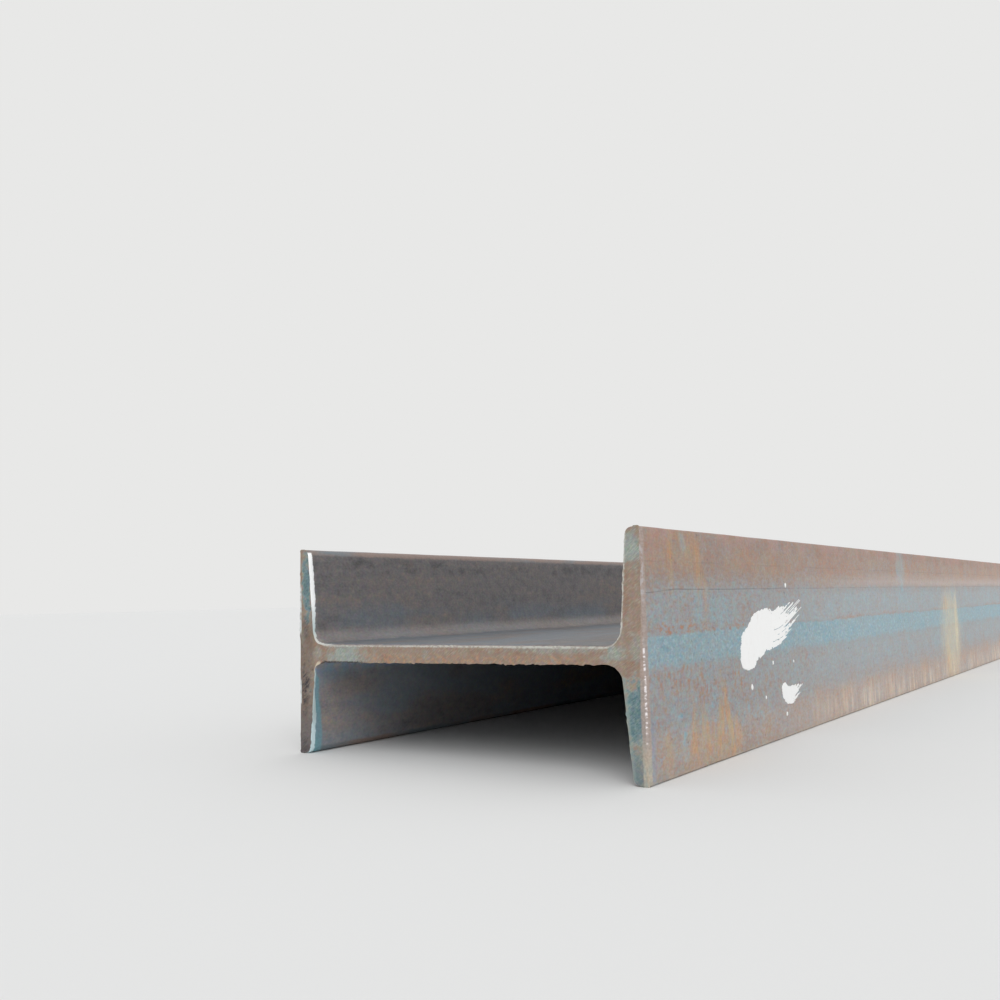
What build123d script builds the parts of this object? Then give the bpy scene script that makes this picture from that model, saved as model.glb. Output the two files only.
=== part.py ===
from build123d import *
import os

# A hot-rolled steel I-beam with tapered flanges: one piece of stock, sawn square at both ends.
# The beam lies on the toes of its flanges, with its web level. X runs across its depth, Y along
# its length and Z across its flanges. The origin is under its middle, on what it rests on.

# Driving dimensions, in millimetres
depth = 180.0             # over the outer faces of the two flanges
flange_width = 94.0       # toe to toe
web_thickness = 6.5
flange_thickness = 8.2    # measured half way out along the flange, between web and toe
flange_taper = 0.085      # thickness lost for each millimetre out towards the toe
root_radius = 7.0         # fillet between web and flange
toe_radius = 3.0          # rounding of each toe's inner edge
corner_radius = 1.0       # rounding of each toe's outer edge, left by the rolls
length = 6000.0           # a common stock length


def section():
    """The section on its own plane: X across the depth, Y across the flanges, centred on the web."""
    half_depth = depth / 2
    half_width = flange_width / 2
    half_web = web_thickness / 2
    taper_over_half_overhang = flange_taper * (half_width - half_web) / 2
    root_x = half_depth - flange_thickness - taper_over_half_overhang
    toe_x = half_depth - flange_thickness + taper_over_half_overhang

    quarter_corners = [
        (root_x, half_web),
        (toe_x, half_width),
        (half_depth, half_width),
    ]
    quarter_radii = [root_radius, toe_radius, corner_radius]
    flange_corners = quarter_corners + [(x, -y) for x, y in reversed(quarter_corners)]
    flange_radii = quarter_radii + quarter_radii[::-1]
    other_flange_corners = [(-x, y) for x, y in reversed(flange_corners)]
    outline = FilletPolyline(
        *flange_corners,
        *other_flange_corners,
        radius=flange_radii + flange_radii,
        close=True,
    )
    return make_face(outline.edges())


def i_beam():
    """The section, rolled along Y and sawn at both ends."""
    section_plane = Plane(origin=(0, 0, flange_width / 2), x_dir=(1, 0, 0), z_dir=(0, -1, 0))
    beam = extrude(section_plane * section(), amount=length / 2, both=True)
    beam.label = "i_beam"
    return beam


os.makedirs("parts", exist_ok=True)
export_step(i_beam(), "parts/i_beam.step")
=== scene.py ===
"""Looks of a hot-rolled steel I-beam: mill scale, rust, sawn ends, burrs and daubs of paint.

Everything is in metres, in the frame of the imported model: X across the beam's depth, Y along its
length with the photographed end at the low end, and Z up from the toes that the beam lies on.
Inside the materials, places are in millimetres, with Y counted from the photographed end.
"""
import math

import bmesh
import bpy
import numpy as np
from mathutils import Matrix, Vector, geometry, noise


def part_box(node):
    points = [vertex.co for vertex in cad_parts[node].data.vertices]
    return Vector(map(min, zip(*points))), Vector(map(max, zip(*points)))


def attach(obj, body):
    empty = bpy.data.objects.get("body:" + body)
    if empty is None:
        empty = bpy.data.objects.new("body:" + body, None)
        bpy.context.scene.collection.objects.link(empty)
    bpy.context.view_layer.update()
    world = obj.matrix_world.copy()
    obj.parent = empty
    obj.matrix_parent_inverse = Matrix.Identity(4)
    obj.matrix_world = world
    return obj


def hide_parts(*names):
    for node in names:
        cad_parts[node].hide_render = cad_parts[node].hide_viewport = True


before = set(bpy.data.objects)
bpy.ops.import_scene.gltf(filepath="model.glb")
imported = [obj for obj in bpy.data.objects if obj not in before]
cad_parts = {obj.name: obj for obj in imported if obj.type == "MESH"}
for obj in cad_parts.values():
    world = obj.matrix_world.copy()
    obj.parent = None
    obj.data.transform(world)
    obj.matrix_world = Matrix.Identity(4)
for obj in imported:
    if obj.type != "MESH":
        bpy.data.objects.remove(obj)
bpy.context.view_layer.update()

low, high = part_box("i_beam")
MM = 0.001

# The section, as rolled
DEPTH = high.x - low.x
FLANGE_WIDTH = high.z - low.z
LENGTH = high.y - low.y
NEAR_Y = low.y
WEB_LEVEL = FLANGE_WIDTH / 2
WEB_THICKNESS = 6.5 * MM
FLANGE_THICKNESS = 8.2 * MM
FLANGE_TAPER = 0.085
ROOT_RADIUS = 7.0 * MM
TOE_RADIUS = 3.0 * MM
CORNER_RADIUS = 1.0 * MM
WEB_REACH = DEPTH / 2 - 8 * MM      # from the beam's middle to the flange

# The camera, fitted to the photographed end
CAMERA_RIGHT = 255.4 * MM
CAMERA_BACK = 317.5 * MM
CAMERA_HEIGHT = 67.3 * MM
CAMERA_YAW = math.radians(35.69)
CAMERA_PITCH = math.radians(6.0)
CAMERA_ROLL = math.radians(-1.41)
CAMERA_LENS_MM = 34.9
CAMERA_SENSOR_MM = 36.0

# How finely the skin, the cuts and the burrs are meshed
RUN_STEP = 3.2 * MM
ARC_STEP = 1.1 * MM
NEAR_STRETCH = 900 * MM
NEAR_STEPS = (0.5 * MM, 1.05, 6 * MM)       # first step from the end, growth, widest step
FAR_STEPS = (0.7 * MM, 1.09, 45 * MM)
CUT_SPACING = 0.75 * MM
CUT_EDGE_GAP = 0.6      # least distance of a cut's inner point from its edge, as a share of the spacing
MERGE_DISTANCE = 1e-7
BURR_STEP = 0.4 * MM
STEEL_SMOOTH_DEGREES = 40
PAINT_SMOOTH_DEGREES = 50


def add_object(name, data):
    made = bpy.data.objects.new(name, data)
    bpy.context.scene.collection.objects.link(made)
    return made


def add_mesh(name, vertices, faces):
    mesh = bpy.data.meshes.new(name)
    mesh.from_pydata(vertices, [], faces)
    mesh.update()
    return add_object(name, mesh)


def add_camera():
    data = bpy.data.cameras.new("camera")
    data.lens = CAMERA_LENS_MM
    data.sensor_width = CAMERA_SENSOR_MM
    data.clip_start = 0.01
    data.clip_end = 200.0
    camera = add_object("camera", data)
    turn = Matrix.Rotation(CAMERA_YAW, 4, "Z")
    tilt = Matrix.Rotation(math.pi / 2 + CAMERA_PITCH, 4, "X")
    roll = Matrix.Rotation(CAMERA_ROLL, 4, "Z")
    place = Matrix.Translation((CAMERA_RIGHT, NEAR_Y - CAMERA_BACK, CAMERA_HEIGHT))
    camera.matrix_world = place @ turn @ tilt @ roll
    bpy.context.scene.camera = camera


def smooth_by_angle(piece, degrees):
    piece.data.shade_smooth()
    piece.data.set_sharp_from_angle(angle=math.radians(degrees))


def rounded_corner(before, corner, after, radius, steps):
    """Points of the arc that rounds a corner between two straight runs."""
    to_before = (before - corner).normalized()
    to_after = (after - corner).normalized()
    half_angle = to_before.angle(to_after) / 2
    centre = corner + (to_before + to_after).normalized() * radius / math.sin(half_angle)
    start = corner + to_before * radius / math.tan(half_angle) - centre
    end = corner + to_after * radius / math.tan(half_angle) - centre
    turn = math.pi - 2 * half_angle
    if start.x * end.y - start.y * end.x < 0:
        turn = -turn
    points = []
    for step in range(steps + 1):
        angle = turn * step / steps
        c, s = math.cos(angle), math.sin(angle)
        points.append(centre + Vector((c * start.x - s * start.y, s * start.x + c * start.y)))
    return points


def section_outline():
    """The section's outline as an array of (x, z), clockwise seen from the near end."""
    half_depth = DEPTH / 2
    half_width = FLANGE_WIDTH / 2
    half_web = WEB_THICKNESS / 2
    half_taper = FLANGE_TAPER * (half_width - half_web) / 2
    root_x = half_depth - FLANGE_THICKNESS - half_taper
    toe_x = half_depth - FLANGE_THICKNESS + half_taper
    quarter = [
        (root_x, half_web, ROOT_RADIUS),
        (toe_x, half_width, TOE_RADIUS),
        (half_depth, half_width, CORNER_RADIUS),
    ]
    right = quarter + [(x, -z, radius) for x, z, radius in reversed(quarter)]
    left = [(-x, z, radius) for x, z, radius in reversed(right)]
    corners = [(Vector((x, z + half_width)), radius) for x, z, radius in right + left]
    count = len(corners)
    arcs = []
    for i, (corner, radius) in enumerate(corners):
        before = corners[i - 1][0]
        after = corners[(i + 1) % count][0]
        steps = max(3, round(radius * math.pi / 2 / ARC_STEP))
        arcs.append(rounded_corner(before, corner, after, radius, steps))
    points = []
    for i, arc in enumerate(arcs):
        points += arc
        start = arc[-1]
        end = arcs[(i + 1) % count][0]
        steps = max(1, round((end - start).length / RUN_STEP))
        points += [start.lerp(end, k / steps) for k in range(1, steps)]
    return np.array([tuple(p) for p in points])


def outward(outline):
    """Unit normals that point out of the steel, for a clockwise outline."""
    along = np.roll(outline, -1, axis=0) - np.roll(outline, 1, axis=0)
    along /= np.linalg.norm(along, axis=1)[:, None]
    return np.stack([-along[:, 1], along[:, 0]], axis=1)


def growing_steps(first, growth, widest, reach):
    """Distances from an end, close together at the end and wider apart away from it."""
    places = [0.0]
    step = first
    while places[-1] + step < reach:
        places.append(places[-1] + step)
        step = min(step * growth, widest)
    return places


def stations():
    """Places along Y where the skin has a ring of points, and how many lie in the near stretch."""
    near = growing_steps(*NEAR_STEPS, NEAR_STRETCH)
    far = growing_steps(*FAR_STEPS, LENGTH - NEAR_STRETCH)
    return np.array(near + [LENGTH - place for place in reversed(far)]), len(near)


def noise_at(*place):
    """Smooth noise from -1 to 1."""
    return noise.noise(Vector(place))


def ripple(seed, x, y, z, size):
    """Noise from -1 to 1 whose bumps are about size wide."""
    return noise_at(x / size + seed, y / size, z / size)


def smooth_step(value, start, end):
    share = min(max((value - start) / (end - start), 0.0), 1.0)
    return share * share * (3 - 2 * share)


# The rounding that the saw left where it took off least, in millimetres
PLAIN_INSET = 0.20
PLAIN_REACH = 0.5
ROUNDNESS = 1.6


def bevel_at(x, z, normal):
    """(inset, reach) of the rounding that the saw left along one edge of the cut."""
    if x > DEPTH / 2 - CORNER_RADIUS / 2:
        away_from_toes = smooth_step(z, 1 * MM, 12 * MM) * smooth_step(z, 93 * MM, 84 * MM)
        return (0.25 + 0.45 * away_from_toes) * MM, 2.4 * MM
    if z < WEB_LEVEL or abs(x) > DEPTH / 2 - 2 * MM:
        return PLAIN_INSET * MM, PLAIN_REACH * MM
    over_web = smooth_step(normal[1], 0.3, 0.9) if abs(x) < WEB_REACH else 0.0
    at_left = smooth_step(normal[0], 0.25, 0.8) if x < -DEPTH / 2 + 18 * MM else 0.0
    sag = 0.45 + 0.25 * smooth_step(x, 30 * MM, -70 * MM)
    inset = PLAIN_INSET + 1.05 * at_left + sag * over_web
    reach = PLAIN_REACH + 2.3 * at_left + 0.9 * over_web
    return inset * MM, reach * MM


TOE_WEAR_REACH = 5 * MM


def skin_relief(x, y, z):
    """How far the rolled skin stands out from its true surface, Y counted from the near end."""
    relief = 0.10 * MM * ripple(3.1, x, y, z, 130 * MM)
    relief += 0.05 * MM * ripple(8.7, x, y, z, 14 * MM)
    beyond = abs(z - WEB_LEVEL) - WEB_LEVEL + TOE_WEAR_REACH
    toe_nearness = max(0.0, beyond) / TOE_WEAR_REACH
    relief -= toe_nearness * 0.07 * MM * (1 + ripple(5.5, x, y, z, 38 * MM))
    relief -= toe_nearness * 0.05 * MM * (1 + ripple(6.5, x, y, z, 7 * MM))
    return relief


def beam_skin(outline, places):
    """Rings of points along the beam, one for each station."""
    normals = outward(outline)
    bevels = [bevel_at(x, z, normal) for (x, z), normal in zip(outline, normals)]
    rings = np.zeros((len(places), len(outline), 3))
    for i, place in enumerate(places):
        from_end = min(place, LENGTH - place)
        for j, (x, z) in enumerate(outline):
            inset, reach = bevels[j]
            out = skin_relief(x, place, z)
            out -= inset * max(0.0, 1 - from_end / reach) ** ROUNDNESS
            across, up = normals[j] * out
            rings[i, j] = (x + across, NEAR_Y + place, max(z + up, 0.0))
    return rings


def inside(points, loop):
    """Which points lie inside a closed loop."""
    x, z = points[:, 0], points[:, 1]
    hit = np.zeros(len(points), bool)
    for (x0, z0), (x1, z1) in zip(loop, np.roll(loop, -1, axis=0)):
        if z0 == z1:
            continue
        crosses = (z0 > z) != (z1 > z)
        hit ^= crosses & (x < (x1 - x0) * (z - z0) / (z1 - z0) + x0)
    return hit


def distance_to(points, loop):
    """Each point's distance from a closed loop."""
    nearest = np.full(len(points), 1.0)
    for a, b in zip(loop, np.roll(loop, -1, axis=0)):
        along = b - a
        share = ((points - a) @ along / (along @ along)).clip(0, 1)
        gap = np.linalg.norm(points - a - share[:, None] * along, axis=1)
        nearest = np.minimum(nearest, gap)
    return nearest


SAW_ANGLE = math.radians(52)


def saw_relief(x, z):
    """Ridges that the saw left on the cut, in lines that lean to the right."""
    across = x * math.sin(SAW_ANGLE) - z * math.cos(SAW_ANGLE)
    along = x * math.cos(SAW_ANGLE) + z * math.sin(SAW_ANGLE)
    relief = 0.06 * MM * ripple(1.3, across, along / 8, 0, 1.5 * MM)
    relief += 0.05 * MM * ripple(2.3, across, along / 4, 0, 5 * MM)
    relief += 0.05 * MM * ripple(4.3, x, z, 0, 20 * MM)
    return relief


def sawn_cap(ring):
    """Inner points of a cut end, and triangles over the ring's own points and then these."""
    loop = ring[:, [0, 2]]
    low_corner, high_corner = loop.min(axis=0), loop.max(axis=0)
    xs = np.arange(low_corner[0], high_corner[0], CUT_SPACING)
    zs = np.arange(low_corner[1], high_corner[1], CUT_SPACING)
    grid = np.array([(x + CUT_SPACING / 2 * (i % 2), z) for i, z in enumerate(zs) for x in xs])
    grid = grid[inside(grid, loop)]
    grid = grid[distance_to(grid, loop) > CUT_SPACING * CUT_EDGE_GAP]
    flat = [Vector(p) for p in np.concatenate([loop, grid])]
    border = [(i, (i + 1) % len(loop)) for i in range(len(loop))]
    _, _, faces, origins, _, _ = geometry.delaunay_2d_cdt(flat, border, [], 1, MERGE_DISTANCE)
    faces = [[origins[i][0] for i in face] for face in faces]
    y = ring[0, 1]
    inner = [(x, y + saw_relief(x, z), z) for x, z in grid]
    return inner, faces


def make_beam(rings):
    """The whole beam as one closed mesh, and how many of its faces are rolled skin."""
    ring_count, size = rings.shape[:2]
    vertices = [tuple(p) for p in rings.reshape(-1, 3)]
    faces = []
    for i in range(ring_count - 1):
        for j in range(size):
            k = (j + 1) % size
            faces.append((i * size + j, i * size + k, (i + 1) * size + k, (i + 1) * size + j))
    skin_faces = len(faces)
    for ring_index, facing in ((0, -1), (ring_count - 1, 1)):
        inner, triangles = sawn_cap(rings[ring_index])
        ring_start = ring_index * size
        inner_start = len(vertices) - size
        vertices += inner
        for triangle in triangles:
            a, b, c = [i + (ring_start if i < size else inner_start) for i in triangle]
            (ax, _, az), (bx, _, bz), (cx, _, cz) = vertices[a], vertices[b], vertices[c]
            turn = (bx - ax) * (cz - az) - (bz - az) * (cx - ax)
            faces.append((a, b, c) if turn * facing < 0 else (a, c, b))
    beam = add_mesh("i_beam_skin", vertices, faces)
    smooth_by_angle(beam, STEEL_SMOOTH_DEGREES)
    return beam, skin_faces


OUTER, INNER, SAWN = range(3)


def assign_slots(beam, outline, skin_faces, materials):
    """Gives the flanges' outer faces, the rest of the skin and the cut ends their materials."""
    for material in materials:
        beam.data.materials.append(material)
    middles = (outline + np.roll(outline, -1, axis=0)) / 2
    is_outer = np.abs(middles[:, 0]) > DEPTH / 2 - CORNER_RADIUS * 0.7
    for i, face in enumerate(beam.data.polygons):
        if i >= skin_faces:
            face.material_index = SAWN
        else:
            face.material_index = OUTER if is_outer[i % len(outline)] else INNER


# The bands of the beam's UV map that hold the near stretch, the rest of the skin, and the two cuts
NEAR_BAND = (0.005, 0.425)
FAR_BAND = (0.435, 0.795)
CUT_BAND = (0.805, 0.995)
UV_MARGIN = 0.005
# The burr's map: rows of the fin, each with its four sides as strips
BURR_ROWS = 8
BURR_SIDES = 4
ROW_MARGIN = 0.05
STRIP_HEIGHT = 0.225


def set_uv(piece, corners):
    layer = piece.data.uv_layers.new(name="OFBake")
    layer.uv.foreach_set("vector", np.array(corners, np.float32).ravel())


def lay_out_beam(beam, rings, near_count, skin_faces):
    """Unrolls the skin with the most room for the near stretch, and lays both cuts flat."""
    ring_count, size = rings.shape[:2]
    first = rings[0][:, [0, 2]]
    edges = np.linalg.norm(np.roll(first, -1, axis=0) - first, axis=1)
    round_share = np.concatenate([[0.0], np.cumsum(edges)]) / edges.sum()
    places = rings[:, 0, 1]
    corners = []
    for i in range(ring_count - 1):
        is_near = i < near_count - 1
        start = places[0] if is_near else places[near_count - 1]
        end = places[near_count - 1] if is_near else places[-1]
        bottom, top = NEAR_BAND if is_near else FAR_BAND
        u, next_u = UV_MARGIN + (1 - 2 * UV_MARGIN) * (places[i:i + 2] - start) / (end - start)
        vs = bottom + (top - bottom) * round_share
        for v, next_v in zip(vs, vs[1:]):
            corners += [(u, v), (u, next_v), (next_u, next_v), (next_u, v)]
    bottom, top = CUT_BAND
    for face in beam.data.polygons[skin_faces:]:
        for index in face.vertices:
            x, y, z = beam.data.vertices[index].co
            side = 0.0 if y < 0 else 0.5
            u = side + UV_MARGIN + (0.5 - 2 * UV_MARGIN) * (x / DEPTH + 0.5)
            corners.append((u, bottom + (top - bottom) * z / FLANGE_WIDTH))
    set_uv(beam, corners)


# The burr's section
BURR_SUNK = 0.35 * MM
BURR_PROUD = 0.04 * MM
BURR_THICKNESS = 0.12 * MM
BURR_ROOT_THICKNESS = 0.5 * MM
BURR_CURL = 0.3


def burr_height(x, y, z, normal):
    """How far the burr stands off the edge of the cut: most under the web, and ragged all round."""
    teeth = ripple(12.0, x, y, z, 1.3 * MM)
    uneven = ripple(14.0, x, y, z, 4 * MM)
    patches = smooth_step(ripple(11.0, x, y, z, 9 * MM), -0.25, 0.35)
    height = 0.06 + 0.5 * patches * max(0.0, teeth + 0.25)
    if abs(z - WEB_LEVEL) < 12 * MM and abs(x) < WEB_REACH:
        hang = 1.5 - 0.8 * x / (75 * MM)
        height += smooth_step(-normal[1], 0.3, 0.95) * (hang + 0.30 * uneven + 0.22 * teeth)
        height += smooth_step(normal[1], 0.0, 0.9) * (0.02 + 0.10 * uneven + 0.10 * teeth)
    elif abs(x) > DEPTH / 2 - 3 * MM:
        toe = max(smooth_step(z, 92.5 * MM, 93.5 * MM), smooth_step(z, 1.8 * MM, 0.8 * MM))
        height += toe * (0.40 + 0.12 * uneven)
        pale_edge_zone = smooth_step(z, 50 * MM, 56 * MM) * smooth_step(z, 80 * MM, 74 * MM)
        height += 0.30 * pale_edge_zone if x < 0 else 0.0
    return max(height * MM, BURR_PROUD)


def make_burr(name, ring, facing):
    """A ragged fin of torn metal that runs round the edge of a cut end."""
    loop = ring[:, [0, 2]]
    points = []
    for a, b in zip(loop, np.roll(loop, -1, axis=0)):
        count = max(1, round(float(np.linalg.norm(b - a)) / BURR_STEP))
        points += [a + (b - a) * k / count for k in range(count)]
    points = np.array(points)
    normals = outward(points)
    y = ring[0, 1]
    inward = np.array([0.0, -facing, 0.0])
    vertices = []
    for (x, z), normal in zip(points, normals):
        height = burr_height(x, y, z, normal)
        base = np.array([x, y, z])
        out = np.array([normal[0], 0.0, normal[1]])
        tip = base + out * height - inward * height * BURR_CURL * ripple(13.0, x, y, z, 4 * MM)
        section = (
            base - out * BURR_SUNK - inward * BURR_PROUD,
            tip,
            tip - out * BURR_THICKNESS + inward * BURR_THICKNESS,
            base - out * BURR_THICKNESS + inward * BURR_ROOT_THICKNESS,
        )
        vertices += [(p[0], p[1], max(p[2], 0.0)) for p in section]
    count = len(points)
    row_length = math.ceil(count / BURR_ROWS)
    faces = []
    corners = []
    for i in range(count):
        a, b = BURR_SIDES * i, BURR_SIDES * ((i + 1) % count)
        row, place = divmod(i, row_length)
        u, next_u = place / row_length, (place + 1) / row_length
        for side in range(BURR_SIDES):
            after = (side + 1) % BURR_SIDES
            face = (a + side, b + side, b + after, a + after)
            v = (row + ROW_MARGIN + STRIP_HEIGHT * side) / BURR_ROWS
            next_v = v + STRIP_HEIGHT / BURR_ROWS
            around = [(u, v), (next_u, v), (next_u, next_v), (u, next_v)]
            faces.append(face if facing < 0 else face[::-1])
            corners += around if facing < 0 else around[::-1]
    burr = add_mesh(name, vertices, faces)
    set_uv(burr, corners)
    return burr


# The daubs: points (y, z) along the brush's way, and half the brush's width, in millimetres
DAUBS = {
    "paint_swipe": (((90, 38), (112, 50), (140, 53), (172, 63)), 10.5),
    "paint_daub": (((138, 24), (150, 19), (168, 24)), 4.5),
}
# Drops of the same paint: y, z and radius
DROPS = ((101, 27, 1.3), (128, 36, 0.9), (143, 11, 1.0), (117, 21, 0.8), (156, 35, 0.7), (150, 72, 1.1))
DROP_SIDES = 14
BRISTLE = 0.28
ALONG_STEP = 0.7
PAINT_SUNK = 0.15 * MM
PAINT_LOWEST = 0.4 * MM


def smooth_path(points, step):
    """Points about a step apart on a smooth curve through the given ones."""
    points = np.array(points, float)
    padded = np.vstack([2 * points[0] - points[1], points, 2 * points[-1] - points[-2]])
    path = []
    for a, b, c, d in zip(padded, padded[1:], padded[2:], padded[3:]):
        count = max(2, round(float(np.linalg.norm(c - b)) / step))
        for t in np.arange(count) / count:
            path.append(0.5 * (2 * b + (c - a) * t + (2 * a - 5 * b + 4 * c - d) * t ** 2
                               + (3 * b - a - 3 * c + d) * t ** 3))
    return np.array(path + [points[-1]])


def brush_cells(rows, columns, seed):
    """Which cells of a brush stroke hold paint: full at its start, streaky where the brush ran dry."""
    kept = np.zeros((rows, columns), bool)
    for i in range(rows):
        along = i / rows
        dryness = smooth_step(along, 0.35, 1.0)
        width = smooth_step(along, -0.02, 0.12) ** 0.5 * (1 - 0.45 * dryness)
        for j in range(columns):
            across = 2 * (j + 0.5) / columns - 1
            side = math.copysign(4.0, across)
            edge = width * (0.92 + 0.22 * noise_at(i * 0.07, side, seed))
            edge += 0.10 * noise_at(i * 0.35, side, seed + 1)
            bristle = noise_at(i * 0.025, j * 0.6, seed + 7)
            patch = noise_at(i * 0.22, j * 0.28, seed + 3)
            kept[i, j] = abs(across) < edge and bristle + 0.45 * patch > 1.15 * dryness - 0.85
    for _ in range(2):
        padded = np.pad(kept, 1).astype(int)
        beside = padded[2:, 1:-1] + padded[:-2, 1:-1] + padded[1:-1, 2:] + padded[1:-1, :-2]
        kept &= beside >= 2
    return kept


def on_outer_face(y, z, rise):
    """A point that stands off the right flange's outer face, for a place in metres."""
    x = DEPTH / 2 + skin_relief(DEPTH / 2, y, z) + rise
    return x, NEAR_Y + y, max(z, PAINT_LOWEST)


def add_paint(name, vertices, faces):
    """A piece of paint, without the points that no face uses, and with all faces turned outward."""
    piece = add_mesh(name, vertices, faces)
    work = bmesh.new()
    work.from_mesh(piece.data)
    bmesh.ops.delete(work, geom=[v for v in work.verts if not v.link_faces], context="VERTS")
    bmesh.ops.recalc_face_normals(work, faces=work.faces)
    work.to_mesh(piece.data)
    work.free()
    smooth_by_angle(piece, PAINT_SMOOTH_DEGREES)
    return piece


def make_daub(name, way, half_width, seed):
    """A stroke of thick paint on the right flange's outer face, as a closed skin over the steel."""
    path = smooth_path(way, ALONG_STEP)
    heading = np.gradient(path, axis=0)
    heading /= np.linalg.norm(heading, axis=1)[:, None]
    side = np.stack([-heading[:, 1], heading[:, 0]], axis=1)
    rows, columns = len(path) - 1, round(2 * half_width / BRISTLE)
    kept = brush_cells(rows, columns, seed)
    vertices = []
    for i in range(rows + 1):
        for j in range(columns + 1):
            y, z = (path[i] + side[i] * (2 * j / columns - 1) * half_width) * MM
            ridge = noise_at(i * 0.04, j * 0.8, seed + 20)
            vertices.append(on_outer_face(y, z, (0.11 + 0.05 * ridge) * MM))
            vertices.append(on_outer_face(y, z, -PAINT_SUNK))
    faces = []
    padded = np.pad(kept, 1)
    for i, j in np.argwhere(kept):
        a = 2 * (i * (columns + 1) + j)
        d = a + 2 * (columns + 1)
        b, c = a + 2, d + 2
        faces.append((a, b, c, d))
        faces.append((d + 1, c + 1, b + 1, a + 1))
        beside = ((0, 1, a, b), (1, 2, b, c), (2, 1, c, d), (1, 0, d, a))
        for step_i, step_j, start, end in beside:
            if not padded[i + step_i, j + step_j]:
                faces.append((end, start, start + 1, end + 1))
    return add_paint(name, vertices, faces)


def make_drops(name, drops):
    """Drops of paint on the right flange's outer face, each a low closed dome."""
    vertices = []
    faces = []
    for y, z, radius in drops:
        first = len(vertices)
        vertices.append(on_outer_face(y * MM, z * MM, 0.22 * radius * MM))
        vertices.append(on_outer_face(y * MM, z * MM, -2 * PAINT_SUNK))
        for reach, rise in ((0.65, 0.17 * radius * MM), (1.0, -PAINT_SUNK)):
            for k in range(DROP_SIDES):
                angle = 2 * math.pi * k / DROP_SIDES
                c, s = math.cos(angle), math.sin(angle)
                wide = reach * radius * (1 + 0.18 * noise_at(c, s, y))
                tall = 1.25 * wide
                vertices.append(on_outer_face((y + wide * c) * MM, (z + tall * s) * MM, rise))
        inner, outer = first + 2, first + 2 + DROP_SIDES
        for k in range(DROP_SIDES):
            after = (k + 1) % DROP_SIDES
            faces.append((first, inner + k, inner + after))
            faces.append((inner + k, outer + k, outer + after, inner + after))
            faces.append((first + 1, outer + after, outer + k))
    return add_paint(name, vertices, faces)


def srgb(red, green, blue):
    """A colour as picked on screen, from 0 to 255, turned into a shader's linear values."""
    def linear(value):
        value /= 255
        return value / 12.92 if value <= 0.04045 else ((value + 0.055) / 1.055) ** 2.4
    return (linear(red), linear(green), linear(blue), 1.0)


class Value:
    """A number that varies over a surface, with the sums that its material's nodes work out."""

    def __init__(self, surface, socket):
        self.surface = surface
        self.socket = socket

    def __add__(self, other):
        return self.surface.math("ADD", self, other)

    def __sub__(self, other):
        return self.surface.math("SUBTRACT", self, other)

    def __rsub__(self, other):
        return self.surface.math("SUBTRACT", other, self)

    def __mul__(self, other):
        return self.surface.math("MULTIPLY", self, other)

    __radd__ = __add__

    def most(self, other):
        return self.surface.math("MAXIMUM", self, other)

    def fade(self, start, end):
        """0 at start, 1 at end, smooth between; start may be the larger."""
        ends = {"From Min": start, "From Max": end}
        node = self.surface.add("ShaderNodeMapRange", Value=self, **ends)
        node.interpolation_type = "SMOOTHSTEP"
        return Value(self.surface, node.outputs["Result"])

    def band(self, start, end, soft_start, soft_end=None):
        """1 between start and end, fading over the soft widths."""
        soft_end = soft_start if soft_end is None else soft_end
        rise = self.fade(start - soft_start / 2, start + soft_start / 2)
        return rise * self.fade(end + soft_end / 2, end - soft_end / 2)

    def swing(self, reach):
        """Noise turned into a push of up to half the reach up or down."""
        return (self - 0.5) * reach

    def wobble(self, reach, size, **how):
        """The value, pushed up and down by noise."""
        return self + self.surface.noise(size, **how).swing(reach)


SKIN_BUMP_MM = 0.14
PAINT_BUMP_MM = 0.05


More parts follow.
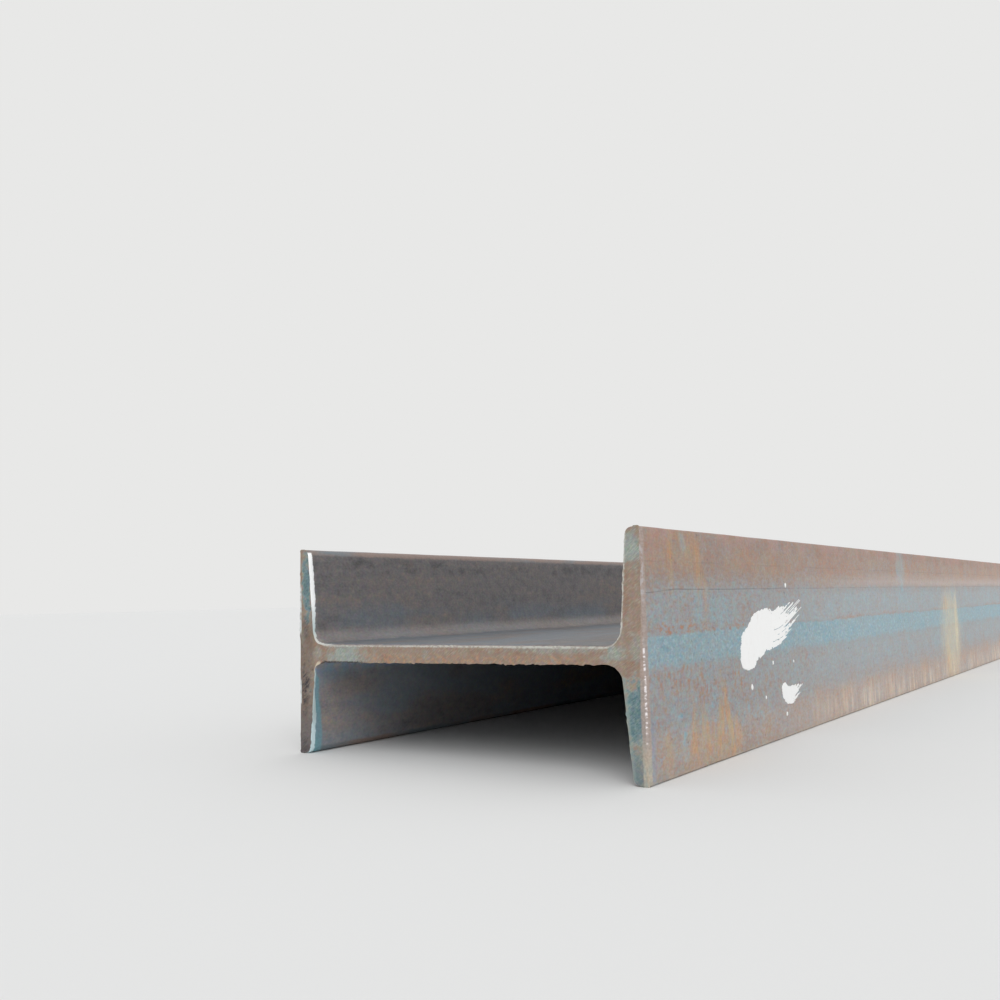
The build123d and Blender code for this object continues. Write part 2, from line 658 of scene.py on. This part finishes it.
class Surface:
    """A material in the making: a Principled shader, and short calls for the nodes that feed it."""

    def __init__(self, name, colour=None):
        self.colour = colour
        self.material = bpy.data.materials.new(name)
        self.material.use_nodes = True
        self.nodes = self.material.node_tree.nodes
        self.links = self.material.node_tree.links
        self.shader = self.nodes["Principled BSDF"]
        coordinates = self.nodes.new("ShaderNodeTexCoord").outputs["Object"]
        to_mm = (1 / MM, 1 / MM, 1 / MM)
        near_end = (0.0, -NEAR_Y / MM, 0.0)
        self.place = self.vector("MULTIPLY_ADD", coordinates, to_mm, near_end)
        split = self.add("ShaderNodeSeparateXYZ", Vector=self.place)
        self.x, self.y, self.z = (Value(self, output) for output in split.outputs)
        self.from_middle = self.math("ABSOLUTE", self.x)
        self.from_web = self.math("ABSOLUTE", self.z - WEB_LEVEL / MM)
        self.from_cut = self.math("MINIMUM", self.y, LENGTH / MM - self.y)

    def feed(self, socket, value):
        if isinstance(value, Value):
            value = value.socket
        if isinstance(value, bpy.types.NodeSocket):
            self.links.new(value, socket)
        else:
            socket.default_value = value

    def add(self, kind, **inputs):
        """A new node, with its inputs fed by name."""
        node = self.nodes.new(kind)
        for name, value in inputs.items():
            self.feed(node.inputs[name], value)
        return node

    def compute(self, kind, operation, values):
        node = self.nodes.new(kind)
        node.operation = operation
        for socket, value in zip(node.inputs, values):
            self.feed(socket, value)
        return node.outputs[0]

    def vector(self, operation, *values):
        return self.compute("ShaderNodeVectorMath", operation, values)

    def math(self, operation, *values):
        return Value(self, self.compute("ShaderNodeMath", operation, values))

    def length(self, first, second):
        return self.math("SQRT", first * first + second * second)

    def spot(self, across, ragged, middle_across, middle_up, half_width, half_height, lean=0.0):
        """1 inside an ellipse, 0 outside; across is the surface's own X or Y, up is always Z."""
        rise = self.z - middle_up
        aside = across - middle_across - rise * lean
        reach = self.length(aside * (1 / half_width), rise * (1 / half_height))
        return (reach + ragged).fade(1.2, 0.35)

    def spots(self, level, across, ragged, rows, mask):
        """The level, raised inside each row's ellipse to that row's strength, which comes last."""
        for *shape, strength in rows:
            level = level.most(self.spot(across, ragged, *shape) * mask * strength)
        return level

    def texture(self, size, along=1, up=1, detail=2, seed=0, place=None):
        """Noise in blobs about size mm wide, stretched along the beam or up."""
        scale = (1 / size, 1 / (size * along), 1 / (size * up))
        shift = (seed * 17.3, seed * 5.1, seed * 9.7)
        place = self.vector("MULTIPLY_ADD", self.place if place is None else place, scale, shift)
        return self.add("ShaderNodeTexNoise", Scale=1.0, Detail=detail, Vector=place).outputs

    def noise(self, size, **how):
        """Noise from 0 to 1 about 0.5."""
        return Value(self, self.texture(size, **how)["Fac"])

    def patches(self, size, start, end, **how):
        """Noise cut into soft patches: 0 where it is below start, 1 where it is above end."""
        return self.noise(size, **how).fade(start, end)

    def cells(self, size):
        """Distance from the nearest of many scattered points, in shares of size mm."""
        node = self.add("ShaderNodeTexVoronoi", Scale=1 / size, Vector=self.place)
        return Value(self, node.outputs["Distance"])

    def mix(self, mask, below, above):
        node = self.add("ShaderNodeMix", Factor=mask)
        node.data_type = "RGBA"
        colour_sockets = [socket for socket in node.inputs if socket.type == "RGBA"]
        for socket, colour in zip(colour_sockets, (below, above)):
            self.feed(socket, srgb(*colour) if isinstance(colour, tuple) else colour)
        return next(socket for socket in node.outputs if socket.type == "RGBA")

    def coat(self, mask, colour):
        """Lays a colour over the surface's own so far, where the mask is more than 0."""
        self.colour = self.mix(mask, self.colour, colour)

    def ramp(self, value, colours):
        """The colour for a value from 0 to 1, from rows of place, red, green and blue."""
        node = self.add("ShaderNodeValToRGB", Fac=value)
        stops = node.color_ramp.elements
        for i, (place, *colour) in enumerate(colours):
            stop = stops[i] if i < 2 else stops.new(place)
            stop.position = place
            stop.color = srgb(*colour)
        return node.outputs["Color"]

    def lighten(self, colour, gain):
        """The colour times one plus the gain."""
        return self.vector("MULTIPLY", colour, gain + 1.0)

    def speckle(self, gain, size, reach, seed):
        """Lightens the colour so far, and pushes its red, green and blue up and down on their own."""
        pushes = self.texture(size, detail=3, seed=seed)["Color"]
        factor = self.vector("MULTIPLY_ADD", pushes, (reach,) * 3, (1 - reach / 2,) * 3)
        self.colour = self.vector("MULTIPLY", self.lighten(self.colour, gain), factor)

    def bump(self, height, distance_mm=SKIN_BUMP_MM):
        node = self.add("ShaderNodeBump", Distance=distance_mm * MM, Height=height)
        return node.outputs["Normal"]

    def finish(self, roughness, normal=None, metallic=0.0):
        inputs = self.shader.inputs
        self.feed(inputs["Base Color"], self.colour)
        self.feed(inputs["Roughness"], roughness)
        self.feed(inputs["Metallic"], metallic)
        if normal is not None:
            self.feed(inputs["Normal"], normal)
        return self.material


# Colours are red, green and blue as picked on screen, from 0 to 255. In a ramp they follow the place
# that they belong to. This ramp goes from clean scale, at 0, to heavy rust, at 1.
SCALE_TO_RUST = (
    (0, 120, 156, 170),
    (0.14, 139, 162, 170),
    (0.3, 146, 156, 160),
    (0.42, 151, 151, 152),
    (0.55, 156, 145, 140),
    (0.66, 157, 139, 129),
    (0.78, 164, 134, 119),
    (0.9, 172, 130, 110),
    (1, 176, 124, 102),
)
ORANGE_STREAK = (188, 146, 106)
YELLOW_TAN = (176, 154, 122)
CREAM_STREAK = (200, 184, 166)
DRIP_TAN = (196, 186, 160)
PALE_BAND = (186, 170, 163)
RED_EDGE = (180, 144, 136)
EDGE_BLUE = (138, 146, 160)
FLECK_TEAL = (160, 186, 192)
FLECK_DARK = (118, 130, 138)
LINE_DARK = (98, 94, 96)
WORN_GREY = (202, 207, 214)
BARE_TAN = (168, 150, 141)
BARE_CREAM = (190, 176, 156)
PALE_TEAL = (144, 164, 162)
# The white of painted glints along the cut's outer edge
GLINT_WHITE = (246, 240, 241)

# Patches on the photographed flange: y, z, half width, half height, rust added
RUST_PATCHES = (
    (30, 31, 20, 12, 0.03),
    (35.5, 89, 3.5, 5, -0.5),
    (47, 63, 5, 9, -0.16),
    (70, 61, 12, 10, -0.15),
    (32, 12, 5, 7, -0.12),
    (375, 84, 14, 16, -0.38),
)
# Soft orange smears there: y, z, half width, half height, lean, strength
ORANGE_SMEARS = (
    (24.5, 85, 3.6, 14, 0, 0.75),
    (41, 86, 15, 10, 0, 0.55),
    (49, 80, 4.5, 17, 0, 0.65),
    (55, 70, 3, 12, -0.1, 0.45),
    (17, 9, 6, 10, 0, 0.45),
    (58, 7, 36, 14, 0, 0.48),
    (39, 12, 5, 14, 0.1, 0.68),
    (50, 11, 6.5, 13, -0.1, 0.8),
    (74, 16, 4.2, 18, -0.35, 1),
    (65, 13, 4.4, 15, 0.15, 0.85),
    (83, 9, 5, 10, -0.2, 0.62),
    (510, 12, 9, 18, 0, 0.75),
    (512, 57, 12, 7, 0, 0.55),
)
# Cream drips of old wash, farther along: y, z, half width, half height, lean, strength
CREAM_DRIPS = (
    (525, 34, 40, 40, 0, 0.62),
    (547, 41, 8, 30, 0.1, 0.85),
)


def bare_edge(s, grain):
    """The colour of the steel that the saw rubbed bare along the flange's outer edge."""
    foot = s.mix(s.patches(1.8, 0.4, 0.7, up=3, seed=38) * 0.6, BARE_CREAM, PALE_TEAL)
    return s.lighten(s.mix(s.z.fade(20, 5), BARE_TAN, foot), grain.swing(0.7))


def edge_glints(s):
    """How strongly painted glints of light show on that edge: in a row of dots, between the web and the
    foot.
    """
    dots = s.patches(3.45, 0.47, 0.6, up=1 / 3, detail=1, seed=30) * 0.85
    return s.z.band(15, 51, 6) * (0.06 + dots)


def outer_face():
    """The flanges' outer faces: a band of blue scale over the web's line, rust above and below."""
    s = Surface("outer_face")
    is_right = s.x.fade(-10, 10)
    away = s.from_cut.fade(45, 240)
    height = s.z.wobble(1.6, 60).wobble(3, 2.6, along=1.6, detail=4)
    loose = s.z.wobble(6, 45, seed=1).wobble(10, 7, along=1.6, detail=4, seed=1)

    rust = (
        0.58
        + loose.fade(11, 21) * -0.16
        + loose.band(12, 22, 6, 12) * away * 0.08
        + height.wobble(5, 6, seed=35).fade(39, 43.5) * -0.28
        + height.fade(52.7, 53.9) * 0.28
        + height.fade(70, 71.2) * 0.08
        + height.wobble(4, 9, along=3, seed=36).fade(69, 80) * 0.19
        + loose.fade(86, 92) * 0.02
    )
    greyer = loose.band(26, 41, 10, 3) + height.band(54, 68, 2, 8)
    rust -= greyer * away * 0.07
    mottle = s.noise(1.6, along=2.2, up=1.1, detail=4, seed=3)
    calm = (away * 0.3).most(height.fade(72, 78) * 0.25)
    rust += s.noise(9, along=1.6, up=1.2, detail=5, seed=2).swing(0.4)
    rust += mottle.swing(0.8 - calm)
    rust += s.noise(0.8, along=2, seed=4).swing(0.25)

    specks = s.patches(1.6, 0.46, 0.66, along=1.8, detail=3, seed=5)
    clusters = s.patches(9, 0.4, 0.6, along=1.3, seed=6)
    upper_row = height.band(52.8, 56.5, 1, 3.5) * (0.5 + clusters * 0.7)
    upper_field = height.band(55, 70, 4, 3) * clusters * 0.5
    lower_field = loose.band(22, 41, 8, 3) * (0.1 + clusters * 0.8)
    drips = s.patches(1.7, 0.46, 0.64, along=1.3, up=2.6, detail=3, seed=39)
    speckled = specks * (upper_row + upper_field) + drips * lower_field
    rust += speckled * (1 - away * 0.8) * 0.35
    thin_row = height.band(53.3, 55, 0.8, 1.8) * s.patches(60, 0.42, 0.55, seed=7) * away
    rust += thin_row * 0.15
    blue_spots = s.patches(2.6, 0.58, 0.68, along=1.5, seed=37) * 0.26
    rust -= blue_spots * loose.fade(27, 21) * (1 - away)

    ragged = s.noise(3, up=2.5, detail=4, seed=8).swing(1.6)
    for *shape, added in RUST_PATCHES:
        rust += s.spot(s.y, ragged, *shape) * is_right * added
    s.colour = s.ramp(rust, SCALE_TO_RUST)
    heat_edge = s.from_cut.wobble(3, 5).band(2, 5.5, 1.5, 3) * s.z.fade(34, 20)
    s.coat(heat_edge * 0.6, EDGE_BLUE)

    teal_flecks = s.patches(1.5, 0.52, 0.66, along=1.8, detail=3, seed=9)
    s.coat(height.band(42, 53, 3, 1) * teal_flecks * 0.5, FLECK_TEAL)
    s.coat(s.patches(1.7, 0.56, 0.7, along=1.8, detail=3, seed=10) * 0.4, FLECK_DARK)

    streaky = s.patches(1.8, 0.34, 0.6, up=5, detail=3, seed=11)
    orange = s.from_web.fade(24, 34) * s.patches(26, 0.48, 0.66, detail=1, seed=12) * 0.22
    orange = s.spots(orange, s.y, ragged, ORANGE_SMEARS, is_right) * (0.55 + streaky * 0.45)
    s.coat(orange, s.mix(s.patches(9, 0.42, 0.58, seed=13), YELLOW_TAN, ORANGE_STREAK))

    red_patches = s.patches(14, 0.42, 0.6, seed=14)
    red = s.z.wobble(6, 5, seed=15).fade(86, 91) * red_patches * 0.45
    by_cut = s.spot(s.y, ragged, 12, 88, 7, 9)
    s.coat(red.most(by_cut * is_right * 0.25), RED_EDGE)
    s.coat(height.band(72, 77, 5, 10) * s.from_cut.fade(90, 400) * 0.6, PALE_BAND)

    cream_top = s.z.wobble(12, 5, up=30, seed=17).wobble(10, 14, seed=18)
    cream_zone = cream_top.band(0, 12, 4, 18) * s.from_cut.fade(110, 260)
    cream = s.patches(3.6, 0.34, 0.72, up=6, detail=4, seed=16) * cream_zone
    cream *= 0.35 + s.patches(28, 0.4, 0.6, seed=19) * 0.35
    s.coat(cream, CREAM_STREAK)
    for *shape, strength in CREAM_DRIPS:
        drip = s.spot(s.y, ragged * 0.5, *shape) * is_right * (0.7 + streaky * 0.3) * strength
        s.coat(drip, DRIP_TAN)

    line_level = s.z.wobble(1.4, 60, seed=20) + s.from_cut.fade(30, 4) * 1.2
    line = line_level.band(70.3, 70.7, 0.5) * s.patches(14, 0.28, 0.56, detail=3, seed=21)
    line *= 1 - away * 0.45
    faint_line = s.z.wobble(1.2, 50, seed=22).band(80.9, 81.2, 0.5)
    faint_line *= s.patches(40, 0.42, 0.6, seed=23) * 0.5
    pits = s.cells(4.5).fade(0.17, 0.05) * s.patches(26, 0.42, 0.6, seed=24)
    marks = ((line + faint_line) * 0.6).most(pits * 0.5)
    s.coat(marks, LINE_DARK)

    grain = s.noise(0.8, along=1.8, detail=3, seed=25)
    brushed = s.noise(1.3, up=9, detail=3, seed=26)
    shade = (
        brushed.swing(0.09)
        + grain.swing(0.42)
        + s.noise(5, along=1.6, detail=4, seed=27).swing(0.24)
        + s.noise(1.1, along=60, seed=28).swing(0.07)
        # Lighter away from the cut ends: partly less rust there, partly painted sheen of light grazing
        # the face
        + s.from_cut.fade(40, 300) * 0.17
        + s.from_cut.fade(420, 1000) * 0.11
        + loose.fade(22, 12) * 0.13
        + height.band(54, 68, 2, 5) * away * 0.07
        + loose.fade(41, 36) * away * 0.05
        - height.fade(70, 76) * 0.04
        + height.band(73, 86, 6) * s.from_cut.fade(240, 640) * 0.07
        - loose.fade(86, 91) * away * 0.1
    )
    s.speckle(shade, 1.4, 0.42, seed=29)

    strip = s.from_cut.wobble(1.6, 1.5, seed=31).fade(3.1, 2.2)
    s.coat(strip * 0.85, bare_edge(s, grain))
    # Painted glints of light: a row of bright dots along the cut's edge
    s.coat(s.y.fade(1.2, 0.7) * edge_glints(s) * is_right, GLINT_WHITE)
    worn = s.z.band(66, 92, 3) * s.patches(2.4, 0.46, 0.62, seed=32) * 0.35
    s.coat(s.from_cut.fade(2.6, 1) * worn * is_right, WORN_GREY)
    # A paler line along the foot: painted highlight where the rounded lower edge catches light
    s.coat(s.z.fade(2, 0.9) * s.patches(12, 0.35, 0.55, seed=33) * 0.45, BARE_CREAM)

    relief = s.noise(0.7, detail=4, seed=34) * 0.5 + mottle * 0.6 + brushed * 0.2
    relief = relief - marks * 0.9 + rust * 0.25
    roughness = 0.5 + rust * 0.16 + mottle.swing(0.15)
    return s.finish(roughness, s.bump(relief))


# Tones of the channels' dark scale, set somewhat darker as painted shade of the channels
INNER_TONES = (
    (0.15, 84, 81, 82),
    (0.4, 100, 97, 98),
    (0.55, 108, 102, 100),
    (0.75, 120, 106, 98),
    (0.95, 134, 108, 92),
)
INNER_BLUE = (96, 108, 118)
ROOT_BROWN = (132, 124, 120)
ROOT_BLUE = (84, 110, 130)
TOE_BROWN = (142, 124, 116)
TOE_BLUE = (116, 126, 132)
# The smear's colours: its white is a painted highlight, paler teal and grey where it is weaker
SMEAR_HIGHLIGHT = (252, 253, 254)
SMEAR_PALE = (186, 202, 202)
SMEAR_GREY = (202, 202, 196)
# Colours of a painted highlight line below the web, white near the foot and pale higher up
FOOT_HIGHLIGHT = (227, 250, 255)
FOOT_PALE = (199, 216, 216)
HEAT_BLUE = (117, 168, 178)
HEAT_GREY = (126, 161, 176)


def inner_faces():
    """The channels between the flanges, and the toes: smooth dark scale, brown and blue, set somewhat
    darker as painted shade of the channels.
    """
    s = Surface("inner_faces")
    drawn = s.noise(11, along=5, detail=5)
    blotches = s.noise(4, along=1.6, detail=5, seed=2)
    grain = s.noise(1, along=1.5, detail=4, seed=1)
    tone = 0.46 + drawn.swing(0.7) + blotches.swing(0.6) + grain.swing(0.5)
    s.colour = s.ramp(tone, INNER_TONES)
    blue_zone = s.z.wobble(14, 30, seed=3).fade(72, 58)
    blue = blue_zone * s.patches(18, 0.36, 0.58, along=3, detail=3, seed=4)
    s.coat(blue * 0.6, INNER_BLUE)
    s.coat(s.from_web.wobble(2, 8, seed=5).band(3.6, 9.5, 1, 5) * 0.5, ROOT_BROWN)
    left_root = s.x.fade(-56, -72) * s.z.band(36.5, 42.5, 3)
    left_root *= s.patches(5, 0.35, 0.6, detail=3, seed=6) * 0.6
    s.coat(left_root, ROOT_BLUE)
    by_toe = s.patches(5, 0.5, 0.64, along=1.5, detail=3, seed=7) * 0.28
    drawn_lines = s.noise(0.9, along=40, seed=8)
    shade = (
        grain.swing(0.55)
        + blotches.swing(0.3)
        + drawn_lines.swing(0.12)
        - s.from_web.band(36, 43, 5) * by_toe
        # Twice as light below the web: painted light that offsets the shade in the lower channel
        + s.z.fade(44, 40)
        + 0.13
    )
    s.speckle(shade, 1.8, 0.45, seed=9)

    toe = s.from_web.wobble(1.4, 5, seed=10).fade(43.6, 45)
    toe_tone = s.patches(14, 0.48, 0.62, along=4, detail=4, seed=11)
    s.coat(toe, s.lighten(s.mix(toe_tone, TOE_BROWN, TOE_BLUE), grain.swing(0.5)))

    # The burr is smeared over the left flange's inner edge: polished steel, painted white as its
    # highlight above the web, and below it blue with a white painted highlight line
    is_left = s.x.fade(-66, -72) * s.y.fade(60, 50)
    streaks = s.noise(1, up=2, detail=3, seed=12).swing(1.5)
    smear_width = 0.9 + s.z.fade(54, 72) * 0.9 - s.z.fade(84, 92) * 0.3
    across = s.from_cut + streaks - smear_width
    smear = is_left * s.z.fade(48.5, 50) * across.fade(0.25, -0.15) * s.z.fade(93, 92)
    # The smear's colour is a painted highlight, whitest higher up
    highlight_share = s.z.wobble(8, 5, seed=13).fade(56, 72)
    smear_low = s.mix(s.z.fade(56, 52), SMEAR_PALE, SMEAR_GREY)
    s.coat(smear * 0.95, s.mix(highlight_share, smear_low, SMEAR_HIGHLIGHT))
    left_foot = is_left * s.z.fade(39, 36)
    foot_width = s.z.fade(38, 33) * 3 + s.z.fade(33, 4) * 4
    foot_across = s.from_cut + streaks * 1.6 - foot_width
    foot_tone = s.patches(3, 0.35, 0.65, up=3, detail=3, seed=16)
    foot_blue = s.lighten(s.mix(foot_tone, HEAT_BLUE, HEAT_GREY), grain.swing(0.5))
    s.coat(left_foot * foot_across.fade(0.9, -0.9) * 0.85, foot_blue)
    # A painted highlight line along the smear below the web, whitest near the foot
    highlight_width = 0.8 + s.z.fade(30, 14) * 1.7
    highlight_across = s.from_cut + streaks - highlight_width
    highlight_colour = s.mix(s.z.fade(19, 10), FOOT_PALE, FOOT_HIGHLIGHT)
    s.coat(left_foot * highlight_across.fade(0.3, -0.3) * 0.95, highlight_colour)
    rim = s.from_cut.wobble(1.2, 2, seed=14).fade(1, 0.3)
    s.coat(rim * (1 - is_left) * 0.6, BARE_TAN)

    relief = s.noise(0.8, detail=4, seed=15) * 0.5 + blotches * 0.5 + drawn_lines * 0.2
    polished = smear * highlight_share
    roughness = 0.54 + drawn.swing(0.2) + polished * 0.06
    return s.finish(roughness, s.bump(relief), polished * 0.8)


# How the cut looks from its heat tints, at 0, to its brown rust, at 1
TINT_TO_RUST = (
    (0, 88, 121, 127),
    (0.2, 114, 138, 142),
    (0.4, 144, 146, 138),
    (0.54, 154, 138, 124),
    (0.68, 149, 129, 113),
    (0.84, 142, 113, 95),
    (1, 118, 92, 78),
)
CUT_HATCH = (186, 188, 174)
SPECK_ORANGE = (184, 140, 104)
DARK_GOUGE = (64, 58, 64)
FOOT_GREY = (112, 108, 112)
# The colour of a painted highlight along the cut's upper channel edges
UPPER_EDGE_HIGHLIGHT = (202, 202, 194)
LOW_LINE = (150, 162, 156)
CREAM_EDGE = (212, 200, 176)
# Near black of a painted shadow under the burr
BURR_SHADOW = (36, 36, 40)
# Pale burr on the left flange's outer edge, painted light as its highlight
PALE_BURR_HIGHLIGHT = (216, 224, 224)
# Dark heat tints of the photographed cut: x, z, half width, half height, how far towards the tint
HEAT_TINTS = (
    (86, 25, 6.5, 14.5, 0.61),
    (86, 6, 6, 11, 0.5),
    (-85.8, 77, 3.1, 19, 0.64),
)
# Pale teal there: x, z, half width, half height, share
PALE_TINTS = (
    (86, 85.5, 4.5, 8, 0.68),
    (77, 47.5, 6, 3.6, 0.55),
    (86.5, 49, 3, 6, 0.3),
    (52, 48.8, 30, 2, 0.32),
    (-60, 45, 14, 6, 0.62),
    (-78, 46, 4, 3, 0.3),
)
# Dark patches of the left flange: x, z, half width, half height, share
DARK_PATCHES = (
    (-87, 30, 3, 11, 1),
    (-86.2, 58, 2.2, 6, 0.55),
    (-87, 3, 4.5, 6, 0.6),
)


def depth_in_cut(s):
    """How deep a place on the cut lies inside the steel, from the nearer channel's edge."""
    radius = ROOT_RADIUS / MM
    half_overhang_level = (FLANGE_WIDTH + WEB_THICKNESS) / 4
    slope_start = (DEPTH / 2 - FLANGE_THICKNESS - FLANGE_TAPER * half_overhang_level) / MM
    into_flange = s.from_middle - slope_start - s.from_web * FLANGE_TAPER
    into_web = WEB_THICKNESS / 2 / MM - s.from_web
    return s.length((into_flange + radius).most(0), (into_web + radius).most(0)) - radius


def sawn_steel():
    """The cut ends and their burr: tan steel, scored by the saw and tinted by its heat."""
    s = Surface("sawn_steel")
    lean = s.add("ShaderNodeVectorRotate", Vector=s.place, Angle=-SAW_ANGLE)
    lean.rotation_type = "Y_AXIS"
    scored = lean.outputs["Vector"]
    fine = s.noise(0.42, up=6, seed=1, place=scored)
    broad = s.noise(1.2, up=4, detail=4, seed=2, place=scored)
    grain = s.noise(0.8, detail=3, seed=3)
    is_near = s.y.fade(100, 90)
    depth = depth_in_cut(s)

    ragged = s.noise(3, detail=5, seed=5).swing(1.6) + broad.swing(0.5)
    tone = 0.7 + s.noise(6, detail=5, seed=4).swing(0.5) + broad.swing(0.24) + grain.swing(0.3)
    tinted = s.patches(12, 0.56, 0.68, detail=4, seed=6) * 0.14
    tinted = s.spots(tinted, s.x, ragged, HEAT_TINTS, is_near)
    s.colour = s.ramp(tone - tinted, TINT_TO_RUST)
    pale = s.patches(9, 0.6, 0.72, detail=4, seed=7) * 0.3
    pale = s.spots(pale, s.x, ragged, PALE_TINTS, is_near)
    s.coat(pale, PALE_TEAL)

    hatch_zone = 0.16 + pale * 0.3 + s.patches(6, 0.5, 0.7, detail=3, seed=8) * 0.15
    hatch = fine.fade(0.46, 0.68) * hatch_zone
    s.coat(hatch, CUT_HATCH)
    low_web = s.z.band(41, 46, 1, 2) * s.x.band(-48, 66, 10)
    orange = low_web * s.patches(1.8, 0.46, 0.64, detail=3, seed=9) * 0.5
    s.coat(orange, SPECK_ORANGE)

    left_flange = s.x.fade(-79, -83) * is_near
    left_foot = left_flange * s.z.fade(26, 12) * 0.65
    right_foot = s.x.fade(78, 81) * is_near * s.z.fade(14, 7) * 0.3
    s.coat(left_foot + right_foot, FOOT_GREY)
    gouges = s.patches(0.7, 0.38, 0.6, up=3.5, seed=15, place=scored)
    dark = s.patches(2, 0.6, 0.72, detail=4, seed=14) * left_flange * 0.6
    dark = s.spots(dark, s.x, ragged, DARK_PATCHES, (0.25 + gouges * 0.75) * is_near)
    s.coat(dark, DARK_GOUGE)
    shade = (
        -0.06
        + broad.swing(0.22)
        + grain.swing(0.45)
        + fine.swing(0.22)
        - left_flange * 0.1
        - left_flange * s.z.fade(66, 56) * 0.2
        - s.x.fade(78, 82) * s.z.fade(40, 34) * 0.06
    )
    s.speckle(shade, 1.6, 0.45, seed=11)

    edge_noise = s.patches(1.4, 0.34, 0.56, seed=12)
    # A painted highlight along the cut's edges round the upper channel, set back from the edge along
    # the web
    set_back = s.from_middle.fade(84, 72) * 0.65
    upper_highlight = (depth + grain.swing(0.8) - set_back).band(-0.9, 0.6, 0.3, 0.8)
    upper_highlight *= s.z.fade(47, 48) * (0.32 + edge_noise * 0.53)
    s.coat(upper_highlight, UPPER_EDGE_HIGHLIGHT)
    right_low = depth.fade(1.7, 0.5) * s.x.fade(78, 79) * s.z.fade(42, 38)
    s.coat(right_low * 0.5, LOW_LINE)
    # Painted shadow of the burr that hangs under the web, at the left
    under_web_shadow = (depth + grain.swing(1.5)).fade(-1.1, -1.6) * s.z.fade(47, 46)
    s.coat(under_web_shadow * s.x.fade(-44, -54) * 0.9, BURR_SHADOW)
    left_root = depth.band(-1.2, 0.5, 0.4) * s.z.band(37, 42, 1.5) * s.x.fade(-76, -77.5)
    s.coat(left_root * is_near * 0.8, CREAM_EDGE)
    # The left flange's outer edge: a pale ragged burr, painted light as its highlight
    pale_edge_zone = s.z.band(55, 77, 4).most(s.z.band(22, 33, 4))
    left_outer = s.x.fade(-88.9, -89.5) * pale_edge_zone * is_near * (0.4 + edge_noise * 0.5)
    s.coat(left_outer, PALE_BURR_HIGHLIGHT)
    strip_edge = s.x.wobble(0.9, 2, seed=13) - s.z.fade(30, 80) * 2.1
    s.coat(strip_edge.fade(87.3, 88.1) * is_near * 0.8, bare_edge(s, grain))
    # Painted glints of light in a row of dots along the right flange's outer edge
    s.coat(s.x.fade(89.1, 89.5) * edge_glints(s) * is_near, GLINT_WHITE)

    relief = fine * 0.5 + broad * 0.6 + grain * 0.3 - dark * 0.8
    return s.finish(0.54 - hatch * 0.1, s.bump(relief))


PAINT_WHITE = (252, 252, 251)
PAINT_DUST = (232, 228, 222)


def white_paint():
    """Thick white brush paint, faintly streaked."""
    s = Surface("white_paint")
    streaks = s.noise(0.8, up=8, detail=3)
    dust = s.patches(5, 0.55, 0.75, detail=4, seed=1)
    s.colour = s.lighten(s.mix(dust * 0.3, PAINT_WHITE, PAINT_DUST), streaks.swing(0.06))
    return s.finish(0.42, s.bump(streaks, PAINT_BUMP_MM))


STUDIO_GREY = (232, 232, 231)
ROOM_COLOUR = (246, 247, 248)
ROOM_STRENGTH = 0.8
KEY_STRENGTH = 1.1
KEY_SOFTNESS = math.radians(40)
KEY_TILT = math.radians(50)
KEY_TURN = math.radians(35)
FLOOR_REACH = 60.0


def add_floor():
    corners = [(-1, -1), (1, -1), (1, 1), (-1, 1)]
    vertices = [(x * FLOOR_REACH, y * FLOOR_REACH, 0.0) for x, y in corners]
    floor = add_mesh("floor", vertices, [(0, 1, 2, 3)])
    floor.data.materials.append(Surface("floor_paint", srgb(*STUDIO_GREY)).finish(0.9))


def add_light():
    """A pale room: soft light from all over, a broad lamp high on the right, and a plain backdrop."""
    world = bpy.data.worlds.new("studio")
    bpy.context.scene.world = world
    world.use_nodes = True
    nodes, links = world.node_tree.nodes, world.node_tree.links
    room = nodes["Background"]
    room.inputs["Color"].default_value = srgb(*ROOM_COLOUR)
    room.inputs["Strength"].default_value = ROOM_STRENGTH
    backdrop = nodes.new("ShaderNodeBackground")
    backdrop.inputs["Color"].default_value = srgb(*STUDIO_GREY)
    path = nodes.new("ShaderNodeLightPath")
    seen = path.outputs["Is Camera Ray"]
    for kind in ("Is Glossy Ray", "Is Transmission Ray"):
        either = nodes.new("ShaderNodeMath")
        either.operation = "MAXIMUM"
        links.new(seen, either.inputs[0])
        links.new(path.outputs[kind], either.inputs[1])
        seen = either.outputs[0]
    blend = nodes.new("ShaderNodeMixShader")
    for socket, source in zip(blend.inputs, (seen, room.outputs[0], backdrop.outputs[0])):
        links.new(source, socket)
    links.new(blend.outputs[0], nodes["World Output"].inputs["Surface"])
    sun = bpy.data.lights.new("key", "SUN")
    sun.energy = KEY_STRENGTH
    sun.angle = KEY_SOFTNESS
    add_object("key", sun).rotation_euler = (KEY_TILT, 0, KEY_TURN)


def place_piece(piece, material=None):
    if material is not None:
        piece.data.materials.append(material)
    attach(piece, "root")


add_camera()
outline = section_outline()
places, near_count = stations()
rings = beam_skin(outline, places)
beam, skin_faces = make_beam(rings)
cut_material = sawn_steel()
assign_slots(beam, outline, skin_faces, [outer_face(), inner_faces(), cut_material])
lay_out_beam(beam, rings, near_count, skin_faces)
place_piece(beam)
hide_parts("i_beam")
for name, ring, facing in (("burr_near", rings[0], -1), ("burr_far", rings[-1], 1)):
    place_piece(make_burr(name, ring, facing), cut_material)
paint = white_paint()
for seed, (name, (way, half_width)) in enumerate(DAUBS.items()):
    place_piece(make_daub(name, way, half_width, seed), paint)
place_piece(make_drops("paint_drops", DROPS), paint)
add_floor()
add_light()

bpy.context.scene.view_settings.view_transform = "Standard"
